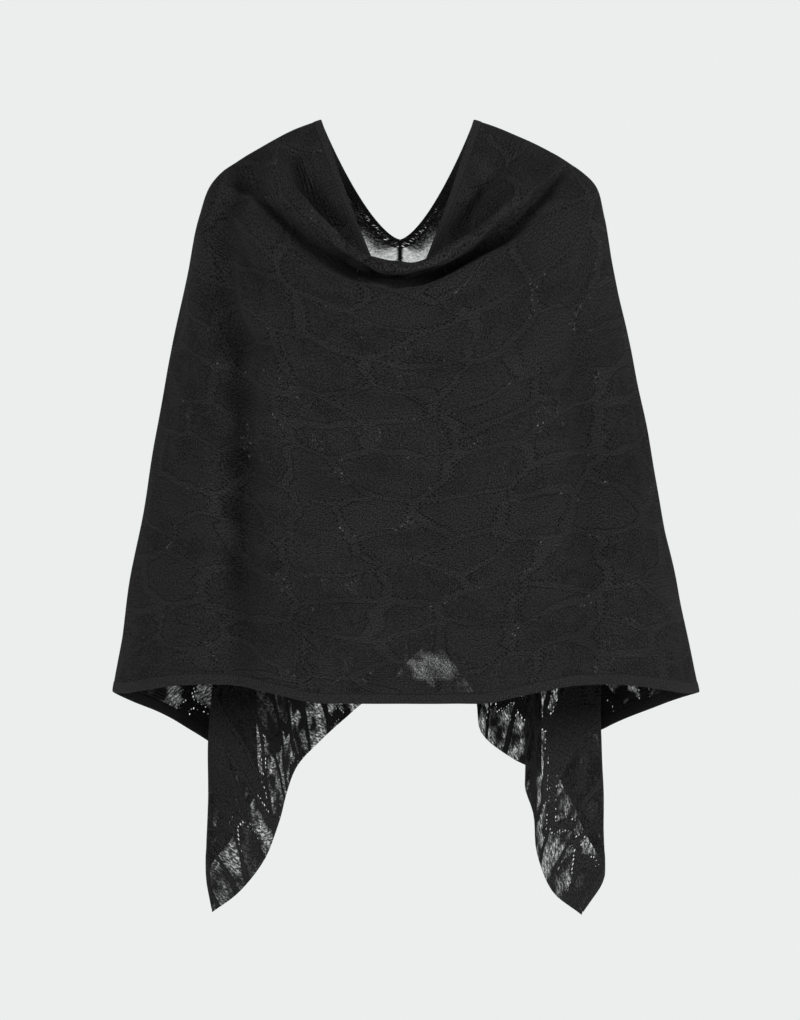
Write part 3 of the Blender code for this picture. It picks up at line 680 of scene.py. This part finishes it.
def knitMaterial():
    material, tree, shader, uv = clothShader("blackSheerKnit")
    flatU, flatV, _ = addNode(tree, "ShaderNodeSeparateXYZ", {0: uv}).outputs
    shadedFold, stretched = markOn(tree, "shadedFold"), markOn(tree, "stretched")
    sideU = mathNode(tree, "ABSOLUTE", flatU)
    onTails = rampBetween(tree, sideU, knit["tails"])
    grain = noiseOn(tree, uv, knit["grainScale"], 2.0, knit["grainRoughness"])
    broad = noiseOn(tree, uv, knit["broadScale"], 2.0)
    cloud = noiseOn(tree, uv, knit["cloudScale"], 2.0, knit["cloudRoughness"])
    turned = mappedBy(tree, uv, rotation=(0.0, 0.0, knit["slant"]))
    streak = noiseOn(tree, mappedBy(tree, turned, scale=knit["streakScale"]), 1.0, 1.0)

    # cells on a bent grid
    cellScale = (1 / knit["cellLength"], 1 / knit["cellHeight"], 1.0)
    cellSpace = mappedBy(tree, uv, scale=cellScale, location=knit["cellShift"])
    bend = addNode(tree, "ShaderNodeTexNoise", {
        "Vector": cellSpace, "Scale": knit["warpScale"], "Detail": 2.0})
    bend = vectorNode(tree, "SUBTRACT", bend.outputs["Color"], (0.5, 0.5, 0.5))
    bend = vectorNode(tree, "MULTIPLY", bend, (2 * knit["warp"],) * 3)
    bent = vectorNode(tree, "ADD", cellSpace, bend)
    cellPlace = {"Vector": bent, "Scale": 1.0, "Randomness": knit["randomness"]}
    nearest, border = (
        addNode(tree, "ShaderNodeTexVoronoi", cellPlace, voronoi_dimensions="2D", feature=feature)
        for feature in ("F1", "DISTANCE_TO_EDGE"))
    uneven = mathNode(tree, "SUBTRACT", noiseOn(tree, uv, knit["channelScale"], 0.0), 0.5)
    uneven = product(tree, uneven, knit["channelVaries"])
    inward = mathNode(tree, "SUBTRACT", border.outputs["Distance"], uneven)
    inward = mathNode(tree, "SUBTRACT", inward, knit["channel"])
    offLine = mathNode(tree, "ABSOLUTE", inward)
    cell = rampBetween(tree, inward, (-knit["soft"], knit["soft"]))

    # their outlines
    fromMiddle = vectorNode(tree, "SUBTRACT", bent, nearest.outputs["Position"])
    sideways = addNode(tree, "ShaderNodeSeparateXYZ", {0: fromMiddle}).outputs[0]
    slanting = rampBetween(tree, mathNode(tree, "ABSOLUTE", sideways), knit["slanting"])
    softLine = rampBetween(tree, offLine, (0.0, knit["lineWidth"]), (knit["lineDark"], 0.0))
    softLine = product(tree, softLine, restOf(tree, slanting))
    turns = 2 * math.pi / knit["eyeletGap"]
    waves = [mathNode(tree, "SINE", product(tree, flat, often))
             for flat, often in ((flatU, turns), (flatV, turns * knit["eyeletRise"]))]
    dots = rampBetween(tree, product(tree, *waves), knit["eyelet"])
    dots = product(tree, dots, rampBetween(tree, offLine, knit["nearLine"], (1.0, 0.0)), slanting)
    someOpen = noiseOn(tree, uv, knit["openScale"], 0.0)
    lit = rampBetween(tree, noiseOn(tree, uv, knit["patchScale"], 1.0), knit["patch"])
    lit = product(tree, lit, rampBetween(tree, someOpen, knit["frontOpen"]), dots)
    openRows = product(tree, rampBetween(tree, offLine, knit["rowWidth"], (1.0, 0.0)),
                       rampBetween(tree, someOpen, knit["tailOpen"]), dots, onTails)

    # colour
    tone = rampBetween(tree, grain, knit["grain"], (1.0 - knit["heather"], 1.0 + knit["heather"]))
    tone = product(tree, tone, rampBetween(tree, broad, knit["broad"], knit["broadTone"]))
    outlines = product(tree, mathNode(tree, "MAXIMUM", softLine, dots), knit["outline"])
    tone = product(tree, tone, restOf(tree, outlines))
    # painted shade: the colour is darkened deep in the folds and under the roll
    tone = product(tree, tone, restOf(tree, product(tree, shadedFold, knit["paintedFoldShade"])))
    faint = rampBetween(tree, noiseOn(tree, uv, knit["faintScale"], 1.0), knit["faint"])
    inCell = mathNode(tree, "MAXIMUM", cell, product(tree, faint, knit["faintShare"]))
    colour = mixedColour(tree, inCell, knit["channelColour"], knit["cellColour"])
    colour = scaledColour(tree, colour, tone)
    # painted glint: at the few front eyelets the colour is lifted towards a pale grey
    colour = mixedColour(tree, product(tree, lit, knit["paintedGlintShare"]), colour, knit["paintedGlint"])

    # light that comes through
    chosen = addNode(tree, "ShaderNodeSeparateColor", {0: nearest.outputs["Color"]}).outputs[0]
    thinCells = rampBetween(tree, chosen, knit["thinCells"])
    clouded = rampBetween(tree, cloud, knit["cloud"])
    hatch = blendOf(tree, (grain, knit["hatchGrain"]), (streak, knit["hatchStreak"]))
    hatch = rampBetween(tree, hatch, knit["hatch"], (knit["hatchLeast"], 1.0))
    sheer = rampBetween(tree, sideU, knit["tails"], (knit["sheer"], knit["tailSheer"]))
    ground = rampBetween(tree, inward, knit["ground"])
    thin = product(tree, thinCells, clouded, hatch, ground, sheer, restOf(tree, shadedFold))
    opened = blendOf(tree, (grain, knit["stretchGrain"]), (streak, knit["stretchStreak"]))
    opened = rampBetween(tree, mathNode(tree, "ADD", opened, stretched), knit["stretched"])
    opened = product(tree, opened, rampBetween(tree, stretched, knit["stretchStarts"]), knit["backNeckSheer"])
    holes = mathNode(tree, "MAXIMUM", product(tree, lit, knit["frontHoles"]), openRows)
    through = mathNode(tree, "MAXIMUM", mathNode(tree, "MAXIMUM", thin, opened), holes)
    through = product(tree, through, rampBetween(tree, shadedFold, knit["foldCloses"], (1.0, 0.0)))

    # relief
    banded = noiseOn(tree, mappedBy(tree, uv, scale=knit["bandScale"]), 1.0, 0.0)
    courses = product(tree, wavesOn(tree, uv, knit["courseScale"], 0.9, "Y", 0.4),
                      rampBetween(tree, banded, knit["banded"], knit["courseHeight"]), restOf(tree, shadedFold))
    height = mathNode(tree, "ADD", product(tree, grain, knit["grainHeight"]), courses)
    height = mathNode(tree, "SUBTRACT", height, product(tree, cell, knit["cellSunk"]))
    height = mathNode(tree, "SUBTRACT", height, product(tree, softLine, knit["lineSunk"]))
    finishShader(tree, shader, knit, colour, restOf(tree, through), height)
    return material


rib = dict(
    colour=(0.0172, 0.0166, 0.0176), grainScale=620.0, grain=(0.30, 0.70), heather=0.8,
    # the stitched line where an edging meets the panel, at these levels of the flat cut
    neckJoin=0.0098, hemJoin=0.5884, joinWidth=0.0011, joinDark=0.6,
    ribScale=150.0, ribHeight=0.0005, grainHeight=0.0004, bump=0.7,
    # slits that open where the back neck is stretched
    slant=0.6, slitScale=(900.0, 420.0, 1.0), slits=(0.53, 0.72), slitsFrom=(0.02, 0.5),
    roughness=0.9, specular=0.25, sheen=0.04, sheenRoughness=0.5, sheenTint=(1.0, 1.0, 1.0, 1.0),
)


def ribMaterial():
    material, tree, shader, uv = clothShader("blackCloseRib")
    grain = noiseOn(tree, uv, rib["grainScale"], 2.0)
    tone = rampBetween(tree, grain, rib["grain"], (1.0 - rib["heather"], 1.0 + rib["heather"]))
    level = addNode(tree, "ShaderNodeSeparateXYZ", {0: uv}).outputs[1]
    offJoins = [mathNode(tree, "ABSOLUTE", mathNode(tree, "SUBTRACT", level, rib[name]))
                for name in ("neckJoin", "hemJoin")]
    join = rampBetween(tree, mathNode(tree, "MINIMUM", *offJoins), (0.3 * rib["joinWidth"], rib["joinWidth"]),
                       (1.0 - rib["joinDark"], 1.0))
    colour = scaledColour(tree, rib["colour"], product(tree, tone, join))
    ribs = wavesOn(tree, uv, rib["ribScale"], 0.4, "X")
    height = blendOf(tree, (ribs, rib["ribHeight"]), (grain, rib["grainHeight"]))
    turned = mappedBy(tree, uv, rotation=(0.0, 0.0, rib["slant"]))
    slits = noiseOn(tree, mappedBy(tree, turned, scale=rib["slitScale"]), 1.0, 1.0)
    slits = product(tree, rampBetween(tree, slits, rib["slits"]),
                    rampBetween(tree, markOn(tree, "stretched"), rib["slitsFrom"]))
    finishShader(tree, shader, rib, colour, restOf(tree, slits), height)
    return material


# camera and light
studio = dict(
    distance=3.2, eyeHeight=-0.429, frameHeight=1.122, sensor=36.0,
    floor=-1.45, floorReach=2.2, floorShade=(0.85, 0.02), pale=(0.831, 0.855, 0.847, 1.0), roomLight=0.10,
    lamps=[  # place, aim, size, power
        ((2.6, -1.9, 0.35), (0.0, 0.0, -0.4), 1.0, 60.0),
        ((-2.6, -1.9, 0.25), (0.0, 0.0, -0.4), 1.2, 43.0),
        ((-0.2, -3.4, 0.35), (0.0, 0.0, -0.4), 1.2, 23.0),
        ((0.0, 3.4, 0.3), (0.0, 0.0, -0.4), 1.0, 75.0),
    ],
)


def seenByCamera(tree, unseen=0.0, seen=1.0):
    # one value for the light that a surface gives, and one for how it looks
    rays = addNode(tree, "ShaderNodeLightPath").outputs["Is Camera Ray"]
    return addNode(tree, "ShaderNodeMapRange", {"Value": rays, "To Min": unseen, "To Max": seen}).outputs[0]


def makeCamera():
    camera = bpy.data.objects.new("camera", bpy.data.cameras.new("camera"))
    camera.data.sensor_fit = "AUTO"
    camera.data.sensor_width = studio["sensor"]
    camera.data.lens = studio["sensor"] * studio["distance"] / studio["frameHeight"]
    camera.location = (0.0, -studio["distance"], studio["eyeHeight"])
    camera.rotation_euler = (math.pi / 2, 0.0, 0.0)
    bpy.context.collection.objects.link(camera)
    bpy.context.scene.camera = camera
    bpy.context.scene.view_settings.view_transform = "Standard"


def makeRoom():
    # the backdrop that the camera sees is brighter than the light that it gives
    world = bpy.data.worlds.new("paleRoom")
    world.use_nodes = True
    background = world.node_tree.nodes["Background"]
    background.inputs["Color"].default_value = studio["pale"]
    strength = seenByCamera(world.node_tree, studio["roomLight"])
    world.node_tree.links.new(strength, background.inputs["Strength"])
    bpy.context.scene.world = world


def makeFloor():
    shape = bmesh.new()
    bmesh.ops.create_circle(shape, cap_ends=True, segments=96, radius=studio["floorReach"])
    bmesh.ops.translate(shape, verts=shape.verts, vec=(0.0, 0.0, studio["floor"]))
    mesh = bpy.data.meshes.new("floor")
    shape.to_mesh(mesh)
    shape.free()
    floor = bpy.data.objects.new("floor", mesh)
    bpy.context.collection.objects.link(floor)
    # it looks as pale as the room without throwing more light up under the cloth
    finish = bpy.data.materials.new("paleFloor")
    finish.use_nodes = True
    tree = finish.node_tree
    shader = tree.nodes["Principled BSDF"]
    tree.links.new(seenByCamera(tree, *studio["floorShade"]), shader.inputs["Base Color"])
    tree.links.new(seenByCamera(tree), shader.inputs["Emission Strength"])
    shader.inputs["Emission Color"].default_value = studio["pale"]
    shader.inputs["Specular IOR Level"].default_value = 0.0
    shader.inputs["Roughness"].default_value = 0.9
    mesh.materials.append(finish)


def makeLamps():
    for number, (place, aim, size, power) in enumerate(studio["lamps"]):
        lamp = bpy.data.objects.new(f"softbox{number}", bpy.data.lights.new(f"softbox{number}", "AREA"))
        lamp.data.size = size
        lamp.data.energy = power
        lamp.location = place
        lamp.rotation_euler = (Vector(aim) - Vector(place)).to_track_quat("-Z", "Y").to_euler()
        bpy.context.collection.objects.link(lamp)


makeCamera()
makeRoom()
makeFloor()
makeLamps()
print("studio ready")
knitFinish = knitMaterial()
ribFinish = ribMaterial()
print("materials ready")
ponchoPanel = makePanel()
neckEdging = makeNeckBand()
hemEdging = makeHemBand()
for piece, finish, node, slot in ((ponchoPanel, knitFinish, "knit_panel", "knit"),
                                  (neckEdging, ribFinish, "neck_band", "rib"),
                                  (hemEdging, ribFinish, "hem_band", "rib")):
    piece.data.materials.append(finish)
    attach(piece, "root")
    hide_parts(node)
markCloth(ponchoPanel)
markCloth(neckEdging)
print("cloth ready:", len(ponchoPanel.data.polygons), "faces in the panel")
seam = makeBackSeam()
seam.data.materials.append(ribFinish)
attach(seam, "root")
print("seam ready")
